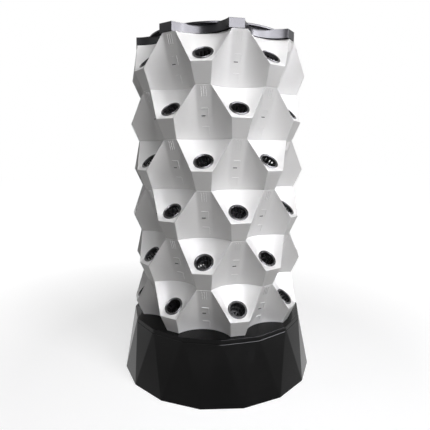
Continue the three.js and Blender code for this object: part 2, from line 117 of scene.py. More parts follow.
# Cable grommet
GROMMET_ANGLE, GROMMET_REACH = radians(157.5), 252.0
GROMMET_BORE, GROMMET_BODY, GROMMET_FLANGE, GROMMET_LIP, GROMMET_RISE = 4.0, 14.0, 4.0, 2.5, 2.7

# Pump, with the impeller's axis along X
PUMP_BACK, PUMP_FRONT, PUMP_WIDTH, PUMP_HEIGHT, PUMP_CORNER = -66.0, 14.0, 70.0, 62.0, 10.0
PUMP_MIDDLE = 45.6  # height of the impeller's axis
GROOVES, GROOVE_START, GROOVE_PITCH, GROOVE_DEPTH = 5, 14.0, 9.0, 1.4
GRIP_RIBS = 28
CHAMBER, CHAMBER_DEPTH = 20.0, 20.0
OUTLET, OUTLET_BORE, OUTLET_TOP = 12.5, 8.0, 98.6
BLADES, BLADE_REACH, BLADE_THICKNESS, BLADE_LENGTH = 6, 17.0, 1.6, 12.0
SHAFT, SHAFT_BORE, SHAFT_BACK = 2.0, 2.5, -24.0
COVER, COVER_THICK, INTAKE = 25.0, 3.0, 8.0
STRAINER_DEPTH, STRAINER_WALL = 34.0, 3.0
SLOTS, SLOT_WIDTH, SLOT_HEIGHT, SLOT_PITCH = 6, 4.0, 44.0, 9.0
FEET_BOTTOM, FOOT_HEIGHT, FOOT_PAD, FOOT_TOP = TANK_FLOOR + SEAT_GAP, 9.0, 12.0, 8.0
FOOT_X, FOOT_Y, FEET_MIDDLE, FRAME_WIDTH, FRAME_THICK = 26.0, 21.0, -26.0, 8.0, 3.0

# Riser and spray head
PIPE_RADIUS, PIPE_BORE, PIPE_TOP = 12.5, 10.0, STACK_TOP - 18.0
SOCKET, SOCKET_HALF = 16.5, 16.0
NOZZLE, NOZZLE_GRIP, NOZZLE_CHAMBER, NOZZLE_TOP = 17.0, 16.0, 14.0, 4.0
JETS, JET = 6, 3.0
DEFLECTOR, DEFLECTOR_THICK, STEM = 70.0, 3.0, 3.6

# Widths of rounded edges, and folds in degrees: past them an edge is kept, rounded or sharp
TIER_ROUND, LID_ROUND, TANK_ROUND, DECK_ROUND, REGISTER_ROUND, LUG_ROUND = 1.3, 0.7, 2.2, 0.8, 0.5, 0.6
FLAT_FOLD, FACET_FOLD, LID_FOLD, PART_FOLD, SHARP_FOLD = 0.5, 4, 25, 30, 35
CORNER_SHARE = 0.45  # of an edge, which a rounded corner takes at most
PAST = 4.0  # how far a cutter stands past what it cuts

# Studio, in metres and watts; a lamp's azimuth turns from the front, -Y, towards +X
FLOOR_HALF = 12.0
FLOOR_BOUNCE, FLOOR_SEEN, FLOOR_GLOW = (0.16, 0.155, 0.145), 0.42, 0.68
FLOOR_FADE = (0.7, 1.8)
LAMP_AIM = (0.0, 0.0, 0.6)
LAMP_REACH, LAMP_SIZE = 3.2, 1.0
LAMPS = (("key_right", 28, 35, 47), ("key_front", 0, 35, 28), ("high_right", 25, 65, 10.5),
         ("high_front", 0, 65, 9.7), ("left", -90, 35, 9), ("low_left", -30, 5, 5))
LAMP_TINT = (0.985, 0.98, 1.0)
GLEAM_ELEVATION, GLEAM_HEIGHT, GLEAM_AIM = 18, 1.7, (0.0, -0.25, 1.1)
GLEAM_POWER = 135.0  # per square metre
GLEAMS = ((50, 3.3), (1, 2.8))  # azimuth, width
GLEAM_TINT = (0.93, 0.92, 1.0)

# Camera, in metres: it looks down by one angle and turns from +Y towards +X by another
CAMERA_PLACE = (-0.3468, -1.3868, 0.7454)
CAMERA_FALL, CAMERA_TURN = radians(8.266), radians(13.77)
SENSOR, LENS_PER_WIDTH = 36.0, 401.96 / 430


# Points and outlines

def lerp(a, b, share):
    return tuple(p + (q - p) * share for p, q in zip(a, b))


def point_at(angle, reach, side, height):
    """A reach from the axis and a sideways offset, in a direction that turns from -Y towards +X."""
    return (sin(angle) * reach + cos(angle) * side, sin(angle) * side - cos(angle) * reach, height)


def across(reach, side):
    """A point about a recess's middle line, restated about the pocket's, or the other way."""
    return reach * cos(HALF) + side * sin(HALF), reach * sin(HALF) - side * cos(HALF)


class Seam:
    """The ring of flat tabs and concave arcs between two tiers, moved inwards by an inset."""

    def __init__(self, tab, width, valley, inset):
        reach, side = across(tab, width / 2)
        radius = ((reach - valley) ** 2 + side ** 2) / (2 * (reach - valley))
        self.centre = valley + radius
        self.radius = radius + inset
        self.tab = tab - inset
        rise = self.centre * cos(HALF) - self.tab
        self.half = self.centre * sin(HALF) - sqrt(self.radius ** 2 - rise ** 2)
        self.corner = across(self.tab, self.half)
        self.valley = self.centre - self.radius
        self.foot = self.centre - sqrt(self.radius ** 2 - self.half ** 2)

    def arc(self, steps):
        """Points from the corner on the far side to the corner on the near side."""
        span = atan2(self.corner[1], self.centre - self.corner[0])
        angles = np.linspace(-span, span, steps + 1)
        return [(self.centre - self.radius * cos(a), self.radius * sin(a)) for a in angles]

    def ring(self, height, steps):
        """The whole outline as points, with a tab in front."""
        points = []
        for pocket in range(POCKETS):
            angle = (pocket * 2 + 1) * HALF
            points += [point_at(angle, r, s, height) for r, s in self.arc(steps)]
        return points


def tier_seam(inset):
    return Seam(TAB_REACH, TAB_WIDTH, VALLEY, inset)


def pocket_edge(share, inset):
    """The pocket's side edge, as reach and side, at a share of the tier's height from its top."""
    seam = tier_seam(inset)
    apex = (APEX_REACH - inset, APEX_WIDTH / 2 - inset * NOSE_TAPER)
    if share < APEX_SHARE:
        return lerp(seam.corner, apex, share / APEX_SHARE)
    return lerp(apex, (seam.tab, seam.half), (share - APEX_SHARE) / (1 - APEX_SHARE))


def softened(points, width, count):
    """A polyline averaged over a width of its length, and sampled at even steps."""
    points = np.array(points)
    steps = np.hypot(*np.diff(points, axis=0).T)
    length = np.concatenate([[0], np.cumsum(steps)])
    fine = np.linspace(0, length[-1], FINE_POINTS)
    curve = np.stack([np.interp(fine, length, points[:, k]) for k in range(2)], 1)
    total = np.concatenate([[[0, 0]], np.cumsum((curve[1:] + curve[:-1]) / 2 * fine[1], axis=0)])
    rows = []
    for place in np.linspace(0, fine[-1], count + 1):
        reach = min(width, place, fine[-1] - place)
        ends = [place - reach, place + reach]
        if reach < fine[1]:
            rows.append([np.interp(place, fine, curve[:, k]) for k in range(2)])
            continue
        low, high = [[np.interp(end, fine, total[:, k]) for k in range(2)] for end in ends]
        rows.append([(b - a) / (2 * reach) for a, b in zip(low, high)])
    return rows


@cache
def recess_row(share, inset):
    """Across a recess at one height: side wall, strip and side wall, in the recess's own frame."""
    seam = tier_seam(inset)
    edge = np.array(across(*pocket_edge(share, inset)))
    strip = np.array([seam.tab + (seam.foot - seam.tab) * share, seam.half])
    outer, inner = (np.arcsin(v / seam.radius) for v in (seam.corner[1], seam.half))
    bulge = seam.radius * (1 - cos((outer - inner) / 2)) * share
    away = (edge + strip) / 2 - np.array([seam.centre, 0])
    away /= np.hypot(*away)
    wall = [edge + (strip - edge) * x + away * bulge * 4 * x * (1 - x) for x in np.linspace(0, 1, WALL_POINTS)]
    sag = (seam.foot - seam.valley) * share ** 2
    middle = [(strip[0] - sag * (1 - x * x), strip[1] * x) for x in np.linspace(1, 0, STRIP_POINTS)[1:]]
    half = [tuple(p) for p in wall] + middle
    whole = [(r, -s) for r, s in half] + [(r, s) for r, s in reversed(half[:-1])]
    return softened(whole, FOLD_WIDTH, RECESS_STEPS)


def from_seat(side, up, out):
    """A point given in the plane of the seat, as reach, side and height."""
    reach = APEX_REACH - up * cos(SEAT_SLOPE) + out * sin(SEAT_SLOPE)
    return reach, side, APEX_Z + up * sin(SEAT_SLOPE) + out * cos(SEAT_SLOPE)


def to_seat(reach, side, height):
    dr, dz = reach - APEX_REACH, height - APEX_Z
    return side, dz * sin(SEAT_SLOPE) - dr * cos(SEAT_SLOPE), dr * sin(SEAT_SLOPE) + dz * cos(SEAT_SLOPE)


EDGE_SHARES = [APEX_SHARE * i / EDGE_STEPS for i in range(EDGE_STEPS + 1)]
NOSE_SHARES = [APEX_SHARE + (1 - APEX_SHARE) * i / NOSE_STEPS for i in range(NOSE_STEPS + 1)]
SCOOP_SHARES = [0, 0.1, 0.25, 0.42, 0.6, 0.78, 1]
SCOOP_EASE = 0.12  # how softly a pocket's face leaves the flat round its cup
EDGE_BAND = 3.0  # from the last ring to the outline


def scoop_outline(inset):
    """Round a pocket's upper face: along the apex, up one side, back along the arc and down."""
    def level(share):
        return (1 - share) * HEIGHT
    reach, half = pocket_edge(APEX_SHARE, inset)
    apex = [(reach, half * (2 * i / APEX_STEPS - 1), level(APEX_SHARE)) for i in range(APEX_STEPS)]
    right = [(*pocket_edge(s, inset), level(s)) for s in reversed(EDGE_SHARES)]
    arc = [(r, s, level(0)) for r, s in reversed(tier_seam(inset).arc(ARC_STEPS))]
    left = [(r, -s, h) for r, s, h in reversed(right)]
    return apex + right + arc[1:-1] + left[:-1]


def scoop_rings(inset):
    """Rings from the cup's hole out to the pocket's outline, flat round the hole at first."""
    outline = [to_seat(*p) for p in scoop_outline(inset)]
    floor = -inset * sin(SEAT_SLOPE)
    rays = []
    for side, up, out in outline:
        ds, du = side, up - CUP_RISE
        far = hypot(ds, du)
        band = 1 - EDGE_BAND / (far - FLAT)
        reaches = [HOLE] + [FLAT + (far - FLAT) * x * band for x in SCOOP_SHARES] + [far]
        ray = []
        for reach in reaches:
            x = max(0.0, (reach - FLAT) / (far - FLAT))
            lift = x * x * (1 + SCOOP_EASE) / (x + SCOOP_EASE)
            k = reach / far
            ray.append(from_seat(ds * k, CUP_RISE + du * k, floor + (out - floor) * lift))
        rays.append(ray)
    return [list(ring) for ring in zip(*rays)]


# Meshes

class Skin:
    """Gathers the points and faces of one piece, with a patch number on every face."""

    def __init__(self):
        self.points, self.faces, self.patches = [], [], []

    def grid(self, rows, patch=0, closed=False):
        width = len(rows[0])
        start = len(self.points)
        for row in rows:
            self.points += [tuple(p) for p in row]
        for i in range(len(rows) - 1):
            for j in range(width if closed else width - 1):
                a, b = start + i * width, start + (i + 1) * width
                k = (j + 1) % width
                self.faces.append((a + j, a + k, b + k, b + j))
                self.patches.append(patch)

    def cap(self, ring, patch):
        start = len(self.points)
        self.points += [tuple(p) for p in ring]
        self.faces.append(tuple(range(start, start + len(ring))))
        self.patches.append(patch)

    def loft(self, rings):
        """A closed body through rings with the same number of points."""
        self.cap(rings[0], 1)
        self.grid(rings, closed=True)
        self.cap(rings[-1], 2)

    def turned(self, profile, sides):
        """A body of revolution; the profile is a closed loop, or it starts and ends on the axis."""
        rows = []
        for i in range(sides):
            a = 2 * pi * i / sides
            rows.append([(r * cos(a), r * sin(a), z) for r, z in profile])
        self.grid(rows + [rows[0]], closed=profile[0][0] > 0)

    def bmesh(self):
        bm = bmesh.new()
        number = bm.faces.layers.int.new("patch")
        verts = [bm.verts.new((x * MM, y * MM, z * MM)) for x, y, z in self.points]
        for corners, patch in zip(self.faces, self.patches):
            bm.faces.new([verts[i] for i in corners])[number] = patch
        bmesh.ops.remove_doubles(bm, verts=bm.verts, dist=WELD)
        bmesh.ops.recalc_face_normals(bm, faces=bm.faces)
        return bm


def rounded_edges(bm, width, chosen, segments=3):
    edges = [e for e in bm.edges if len(e.link_faces) == 2 and chosen(e)]
    bmesh.ops.bevel(bm, geom=edges, offset=width * MM, offset_type="OFFSET", segments=segments,
                    profile=0.5, affect="EDGES", clamp_overlap=False, loop_slide=True, material=-1)


def between_patches(bm, skipped=()):
    number = bm.faces.layers.int["patch"]

    def chosen(edge):
        a, b = (f[number] for f in edge.link_faces)
        return a != b and a not in skipped and b not in skipped
    return chosen


def sharper_than(angle):
    return lambda edge: edge.calc_face_angle(0) > radians(angle)


def shown(name, data):
    """A new object in the scene, at the origin."""
    obj = bpy.data.objects.new(name, data)
    bpy.context.scene.collection.objects.link(obj)
    return obj


def made(name, bm, material, weighted=True):
    """A finished object from a bmesh: smooth faces, sharp where the fold is steep."""
    mesh = bpy.data.meshes.new(name)
    for face in bm.faces:
        face.smooth = True
    steep = sharper_than(SHARP_FOLD)
    for edge in bm.edges:
        edge.smooth = not (len(edge.link_faces) == 2 and steep(edge))
    bm.to_mesh(mesh)
    bm.free()
    mesh.materials.append(material)
    obj = shown(name, mesh)
    if weighted:
        modifier = obj.modifiers.new("flat faces", "WEIGHTED_NORMAL")
        modifier.keep_sharp = True
        settle(obj)
    return obj


def settle(obj):
    """Turns the evaluated object into its own plain mesh."""
    bpy.context.view_layer.update()
    evaluated = obj.evaluated_get(bpy.context.evaluated_depsgraph_get())
    mesh = bpy.data.meshes.new_from_object(evaluated)
    obj.modifiers.clear()
    old, obj.data = obj.data, mesh
    bpy.data.meshes.remove(old)
    mesh.name = obj.name
    return obj


def eased(loop, size):
    """A closed outline with its corners rounded, except those on the axis."""
    points = []
    for i, corner in enumerate(loop):
        if corner[0] == 0:
            points.append(corner)
            continue
        ends = []
        for other in (loop[i - 1], loop[(i + 1) % len(loop)]):
            span = hypot(other[0] - corner[0], other[1] - corner[1])
            ends.append(lerp(corner, other, min(size / span, CORNER_SHARE)))
        points += [ends[0], lerp(lerp(*ends, 0.5), corner, 0.5), ends[1]]
    return points


def shift_by(x=0.0, y=0.0, z=0.0):
    return Matrix.Translation((x * MM, y * MM, z * MM))


def turn_by(angle):
    return Matrix.Rotation(angle, 4, "Z")


def turned_part(name, profile, finish, round_by=0.6, sides=48):
    skin = Skin()
    skin.turned(eased(profile, round_by), sides)
    return made(name, skin.bmesh(), finish)


def combined(obj, operation, *others):
    """Joins other objects to one, or cuts them out of it, and removes them."""
    for other in others:
        modifier = obj.modifiers.new(operation, "BOOLEAN")
        modifier.operation, modifier.solver, modifier.object = operation, "EXACT", other
        settle(obj)
        bpy.data.objects.remove(other)
    return obj


def united(obj, *others):
    return combined(obj, "UNION", *others)


def cut_by(obj, *cutters):
    return combined(obj, "DIFFERENCE", *cutters)


def rounded(obj, width, angle=SHARP_FOLD):
    """Rounds every steep edge of an object, in place, or only marks its folds anew at a width of 0."""
    bm = bmesh.new()
    bm.from_mesh(obj.data)
    bmesh.ops.remove_doubles(bm, verts=bm.verts, dist=WELD)
    bmesh.ops.dissolve_limit(bm, angle_limit=radians(FLAT_FOLD), verts=bm.verts, edges=bm.edges)
    if width:
        rounded_edges(bm, width, sharper_than(angle))
    material = obj.data.materials[0]
    name = obj.name
    bpy.data.objects.remove(obj)
    return made(name, bm, material)


def block(name, size, place, finish, round_by=0.6):
    bm = bmesh.new()
    bmesh.ops.create_cube(bm, size=MM)
    bmesh.ops.scale(bm, vec=size, verts=bm.verts)
    bmesh.ops.translate(bm, vec=[v * MM for v in place], verts=bm.verts)
    if round_by:
        rounded_edges(bm, round_by, sharper_than(PART_FOLD), 2)
    return made(name, bm, finish)


def copied(source, name, matrix):
    obj = shown(name, source.data.copy())
    obj.data.name = name
    obj.data.transform(matrix)
    return obj


def joined(name, objects):
    """One object from several, all at the origin."""
    with bpy.context.temp_override(active_object=objects[0], object=objects[0],
                                   selected_objects=objects, selected_editable_objects=objects):
        bpy.ops.object.join()
    objects[0].name = objects[0].data.name = name
    return objects[0]


def worn(obj, body, slot, *nodes):
    """The piece moves with a body and stands for the CAD nodes named, which it hides; the finish, slot, is not used.
    """
    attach(obj, body)
    if nodes:
        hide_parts(*nodes)
    return obj


# Materials

STREAK_STRETCH = 0.12  # streaks run down a piece
DRIFT_SHARE = 0.65  # of the tone; the streaks make the rest
RUB_SCALE, RUB_DETAIL, RUB_BREAKUP, RUB_EDGES = 11.0, 6.0, 0.62, (0.42, 0.66)
TONE_EDGES = (0.35, 0.65)
SKIN_DEPTH = 0.0004  # metres


def node(tree, kind, *parts, **values):
    """A new node: parts go into its first inputs, and values into its settings and named inputs.

    A part or a value that is another node's socket is linked in.
    """
    new = tree.nodes.new(kind)
    for key, value in (*enumerate(parts), *values.items()):
        if isinstance(key, str) and hasattr(new, key):
            setattr(new, key, value)
            continue
        socket = new.inputs[key.replace("_", " ") if isinstance(key, str) else key]
        if isinstance(value, bpy.types.NodeSocket):
            tree.links.new(value, socket)
        else:
            socket.default_value = value
    return new


def flow(*parts, **values):
    """The first output of a new node."""
    return node(*parts, **values).outputs[0]


def noise(tree, place, scale, detail=3.0, breakup=0.5):
    return node(tree, "ShaderNodeTexNoise", Vector=place, Scale=scale, Detail=detail,
                Roughness=breakup).outputs["Fac"]


def spread(tree, value, low, high, out_low=0.0, out_high=1.0):
    return flow(tree, "ShaderNodeMapRange", value, low, high, out_low, out_high)


def maths(tree, operation, *values):
    return flow(tree, "ShaderNodeMath", *values, operation=operation)


def times(tree, a, b):
    return maths(tree, "MULTIPLY", a, b)


def moulded_group():
    """Moulded plastic: slow drift of tone, flow streaks, rubbed patches and a fine skin."""
    tree = bpy.data.node_groups.new("moulded_plastic", "ShaderNodeTree")
    for label, value in (("Drift Scale", 5.0), ("Streak Scale", 24.0), ("Skin Scale", 900.0)):
        socket = tree.interface.new_socket(name=label, in_out="INPUT", socket_type="NodeSocketFloat")
        socket.default_value = value
    enter = tree.nodes.new("NodeGroupInput").outputs
    place = node(tree, "ShaderNodeTexCoord").outputs["Object"]
    stretch = flow(tree, "ShaderNodeMapping", Vector=place, Scale=(1, 1, STREAK_STRETCH))
    drift = times(tree, noise(tree, place, enter["Drift Scale"], 4), DRIFT_SHARE)
    streak = times(tree, noise(tree, stretch, enter["Streak Scale"]), 1 - DRIFT_SHARE)
    rub = spread(tree, noise(tree, place, RUB_SCALE, RUB_DETAIL, RUB_BREAKUP), *RUB_EDGES)
    made_here = {"Tone": maths(tree, "ADD", drift, streak), "Rub": rub,
                 "Skin": noise(tree, place, enter["Skin Scale"], 2)}
    for label in made_here:
        tree.interface.new_socket(name=label, in_out="OUTPUT", socket_type="NodeSocketFloat")
    leave = tree.nodes.new("NodeGroupOutput").inputs
    for label, source in made_here.items():
        tree.links.new(source, leave[label])
    return tree


MOULDED = moulded_group()


def plastic(name, low, high, rough, rub_rough, bump, drift=5.0, ior=1.5):
    """A moulded plastic between two tones, with its own gloss and skin."""
    material = bpy.data.materials.new(name)
    material.use_nodes = True
    tree = material.node_tree
    masks = node(tree, "ShaderNodeGroup", node_tree=MOULDED, Drift_Scale=drift).outputs
    colour = node(tree, "ShaderNodeMix", data_type="RGBA", A=(*low, 1), B=(*high, 1),
                  Factor=spread(tree, masks["Tone"], *TONE_EDGES)).outputs["Result"]
    relief = flow(tree, "ShaderNodeBump", Height=masks["Skin"], Strength=bump, Distance=SKIN_DEPTH)
    shader = tree.nodes["Principled BSDF"].inputs
    shader["IOR"].default_value = ior
    tree.links.new(colour, shader["Base Color"])
    tree.links.new(spread(tree, masks["Rub"], 0, 1, rough, rub_rough), shader["Roughness"])
    tree.links.new(relief, shader["Normal"])
    return material


WHITE = plastic("white_shell", (0.765, 0.762, 0.75), (0.795, 0.792, 0.78), 0.28, 0.38, bump=0.12, ior=1.33)
BLACK = plastic("black_base", (0.001, 0.001, 0.0011), (0.003, 0.0029, 0.0028), 0.1, 0.18, bump=0.04, ior=1.2)
LID_BLACK = plastic("black_lid", (0.004, 0.004, 0.005), (0.008, 0.008, 0.01), 0.26, 0.34, bump=0.04, ior=1.27)
CUP = plastic("cup_plastic", (0.006, 0.006, 0.006), (0.014, 0.013, 0.013), 0.26, 0.36, drift=40, bump=0.2)
PIPE = plastic("pipe_plastic", (0.62, 0.62, 0.58), (0.72, 0.72, 0.68), 0.35, 0.5, drift=14, bump=0.15)
SPRAY = plastic("spray_plastic", (0.02, 0.02, 0.022), (0.04, 0.04, 0.043), 0.35, 0.5, drift=30, bump=0.2)
PUMP = plastic("pump_plastic", (0.012, 0.014, 0.018), (0.024, 0.027, 0.033), 0.4, 0.55, drift=30, bump=0.4)
RUBBER = plastic("rubber", (0.012, 0.012, 0.012), (0.022, 0.022, 0.022), 0.65, 0.85, drift=40, bump=0.5)

FINISH = {"white_shell": WHITE, "black_shell": BLACK, "cup": CUP, "white_plastic": PIPE,
          "grey_plastic": SPRAY, "pump": PUMP, "rubber": RUBBER}
for row in frame["record"]["subparts"]:
    for holder in frame["nodes"][row["node"]].material_slots:
        holder.material = FINISH[row["material_slot"]]


# Tier

def side_rows(inset):
    shares = EDGE_SHARES + NOSE_SHARES[1:]
    return [[(r, s, (1 - share) * HEIGHT) for r, s in recess_row(share, inset)] for share in shares]


def nose_rows(inset):
    rows = []
    for share in NOSE_SHARES:
        reach, half = pocket_edge(share, inset)
        rows.append([(reach, half * (2 * i / APEX_STEPS - 1), (1 - share) * HEIGHT)
                     for i in range(APEX_STEPS + 1)])
    return rows


def turned_to(angle, rows):
    return [[point_at(angle, *p) for p in row] for row in rows]


INNER, SCOOP, NOSE, SIDE, RIM, THROAT = range(6)  # patches of the shell; the inner skin's edges stay sharp


def tier_bmesh():
    """The shell of a tier: outer and inner skins, joined at both rims and round each hole."""
    skin = Skin()
    scoops, noses, sides = ([make(inset) for inset in (0, WALL)]
                            for make in (scoop_rings, nose_rows, side_rows))
    for pocket in range(POCKETS):
        angle, gap = pocket * SECTOR, pocket * SECTOR + HALF
        for layer in range(2):
            skin.grid(turned_to(angle, scoops[layer]), INNER if layer else SCOOP, closed=True)
            skin.grid(turned_to(angle, noses[layer]), INNER if layer else NOSE)
            skin.grid(turned_to(gap, sides[layer]), INNER if layer else SIDE)
        skin.grid(turned_to(angle, [s[0] for s in scoops]), THROAT, closed=True)
        skin.grid(turned_to(angle, [n[-1] for n in noses]), RIM)
        skin.grid(turned_to(gap, [s[-1] for s in sides]), RIM)
        skin.grid(turned_to(gap, [s[0] for s in sides]), RIM)
        arcs = [[(r, s, HEIGHT) for r, s in tier_seam(inset).arc(ARC_STEPS)] for inset in (0, WALL)]
        skin.grid(turned_to(angle, arcs), RIM)
    bm = skin.bmesh()
    rounded_edges(bm, TIER_ROUND, between_patches(bm, skipped=(INNER,)))
    return bm


def recess_lean():
    seam = tier_seam(0)
    return (seam.tab - seam.foot) / HEIGHT


def lug_bmesh(reach, wall, width, count):
    """L-shaped lugs that hang into the mouth below and lean as its recesses do."""
    skin = Skin()
    outer = min(reach, TAB_REACH) - WALL - LUG_CLEARANCE
    tip = outer - LUG_DROP * recess_lean()
    outline = [(tip - LUG_WALL, -LUG_DROP), (tip, -LUG_DROP), (outer, SEAT_GAP),
               (reach - wall + LUG_BITE, SEAT_GAP), (reach - wall + LUG_BITE, LUG_ROOT),
               (outer - LUG_WALL, LUG_ROOT)]
    for i in range(count):
        angle = 2 * pi * i / count
        rings = [[point_at(angle, r, side, z) for r, z in outline] for side in (-width / 2, width / 2)]
        skin.loft(rings)
    bm = skin.bmesh()
    rounded_edges(bm, LUG_ROUND, sharper_than(PART_FOLD), 2)
    return bm


def tier_place(number):
    return shift_by(z=STACK_TOP - number * PITCH) @ turn_by(HALF if number % 2 else 0)


# Geometry Nodes

def geometry_tree(name, sizes):
    """A Geometry Nodes tree with an input for each size, which starts at the value given."""
    tree = bpy.data.node_groups.new(name, "GeometryNodeTree")
    tree.is_modifier = True
    tree.interface.new_socket(name="Geometry", in_out="INPUT", socket_type="NodeSocketGeometry")
    for label, value in sizes.items():
        kind = "NodeSocketInt" if isinstance(value, int) else "NodeSocketFloat"
        tree.interface.new_socket(name=label, in_out="INPUT", socket_type=kind).default_value = value
    tree.interface.new_socket(name="Geometry", in_out="OUTPUT", socket_type="NodeSocketGeometry")
    return tree, tree.nodes.new("NodeGroupInput").outputs, tree.nodes.new("NodeGroupOutput").inputs


def vector_of(tree, x=0.0, y=0.0, z=0.0):
    return flow(tree, "ShaderNodeCombineXYZ", X=x, Y=y, Z=z)


def moved(tree, geometry, shift, tilt=None):
    turn = {} if tilt is None else {"Rotation": flow(tree, "FunctionNodeEulerToRotation", tilt)}
    return flow(tree, "GeometryNodeTransform", Geometry=geometry, Translation=shift, **turn)


def ringed(tree, geometry, count, first=0.0):
    """Copies of a geometry turned about Z at even angles, the first one at a given angle."""
    points = flow(tree, "GeometryNodePoints", Count=count)
    step = maths(tree, "DIVIDE", 2 * pi, count)
    index = flow(tree, "GeometryNodeInputIndex")
    angle = maths(tree, "ADD", times(tree, index, step), first)
    turn = flow(tree, "FunctionNodeEulerToRotation", Euler=vector_of(tree, z=angle))
    return flow(tree, "GeometryNodeInstanceOnPoints", Points=points, Instance=geometry, Rotation=turn)


def blank(name):
    """An object with an empty mesh, for a tree that makes all of its own geometry."""
    return shown(name, bpy.data.meshes.new(name))


def grown(obj, tree, **sizes):
    """Runs a tree on an object, with its inputs set by identifier, and keeps the result."""
    sockets = {s.name: s.identifier for s in tree.interface.items_tree if s.in_out == "INPUT"}
    modifier = obj.modifiers.new(tree.name, "NODES")
    modifier.node_group = tree
    for label, value in sizes.items():
        modifier[sockets[label.replace("_", " ")]] = value
    return settle(obj)


def gathered(tree, *parts):
    join = tree.nodes.new("GeometryNodeJoinGeometry")
    for part in parts:
        tree.links.new(part, join.inputs[0])
    return join.outputs[0]


def finish_tree(tree, leave, geometry, material):
    real = flow(tree, "GeometryNodeRealizeInstances", geometry)
    tree.links.new(flow(tree, "GeometryNodeSetMaterial", Geometry=real, Material=material), leave["Geometry"])


def bar(tree, x, y, z):
    return flow(tree, "GeometryNodeMeshCube", Size=vector_of(tree, x, y, z))


# Net cups

def cup_tree():
    """Ribs and floor spokes round a cup's rings, and the cup repeated round a tier."""
    tree, enter, leave = geometry_tree("net_cup", {
        "Ribs": CUP_RIBS, "Top Radius": 24.6 * MM, "Foot Radius": 20.2 * MM, "Slot Top": -7.0 * MM,
        "Slot Foot": -45.5 * MM, "Rib Width": 4.6 * MM, "Rib Wall": 1.5 * MM, "Cups": POCKETS,
        "First Angle": 0.0, "Reach": CUP_REACH * MM, "Height": CUP_LEVEL * MM, "Tilt": SEAT_SLOPE})
    fall = maths(tree, "SUBTRACT", enter["Slot Top"], enter["Slot Foot"])
    narrow = maths(tree, "SUBTRACT", enter["Top Radius"], enter["Foot Radius"])
    lean = maths(tree, "ARCTAN2", narrow, fall)
    length = maths(tree, "SQRT", maths(tree, "ADD", times(tree, fall, fall), times(tree, narrow, narrow)), 0)
    radius = times(tree, maths(tree, "ADD", enter["Top Radius"], enter["Foot Radius"]), 0.5)
    level = times(tree, maths(tree, "ADD", enter["Slot Top"], enter["Slot Foot"]), 0.5)
    rib = moved(tree, bar(tree, enter["Rib Wall"], enter["Rib Width"], length),
                vector_of(tree, x=radius, z=level), vector_of(tree, y=lean))
    spoke_length = maths(tree, "SUBTRACT", enter["Foot Radius"], CUP_HUB * MM)
    spoke_place = maths(tree, "ADD", times(tree, spoke_length, 0.5), CUP_HUB * MM)
    spoke = moved(tree, bar(tree, spoke_length, enter["Rib Width"], enter["Rib Wall"]),
                  vector_of(tree, x=spoke_place, z=CUP_FLOOR * MM))
    half = times(tree, enter["Ribs"], 0.5)
    cup = gathered(tree, enter["Geometry"], ringed(tree, rib, enter["Ribs"]), ringed(tree, spoke, half))
    seat = vector_of(tree, y=times(tree, enter["Reach"], -1.0), z=enter["Height"])
    tilted = moved(tree, cup, seat, vector_of(tree, x=enter["Tilt"]))
    finish_tree(tree, leave, ringed(tree, tilted, enter["Cups"], enter["First Angle"]), CUP)
    return tree


def cup_rings():
    """The turned parts of a cup: lipped flange and collar, two bands, a foot ring and a hub."""
    skin = Skin()
    top, low = SEAT_GAP + 2.0, SEAT_GAP
    skin.turned([(CUP_TOP, low - 8), (CUP_TOP + 0.2, low - 0.4), (CUP_TOP + 1.0, low), (29.2, low),
                 (CUP_FLANGE, low + 0.7), (CUP_FLANGE, top - 0.5), (29.3, top), (28.6, top - 0.1), (28.1, top - 0.7),
                 (25.6, top - 0.7), (25.0, top - 0.1), (24.4, top), (23.9, top - 0.5), (23.5, low - 8)], 48)
    foot = top - CUP_DEPTH
    skin.turned([(CUP_FOOT - 1.0, foot), (CUP_FOOT + 0.2, foot + 1.0), (CUP_FOOT + 0.6, foot + 4.5),
                 (CUP_FOOT - 1.0, foot + 4.5), (CUP_FOOT - 1.6, foot + 1.6), (CUP_FOOT - 4.0, foot + 1.6),
                 (CUP_FOOT - 4.0, foot)], 40)
    skin.turned([(22.9, -27), (23.0, -24), (21.4, -24), (21.3, -27)], 40)
    skin.turned([(0, foot), (5.5, foot), (5.5, foot + 1.6), (0, foot + 1.6)], 24)
    return skin.bmesh()


# Marks on the strips

def strip_place(drop):
    """Reach, height and lean of a recess's strip at a drop below the tier's top."""
    span = MARK_SPAN
    above, here, below = (recess_row((drop + d) / HEIGHT, 0)[RECESS_STEPS // 2][0] for d in (-span, 0, span))
    return here * MM, (HEIGHT - drop) * MM, atan2(above - below, 2 * span)


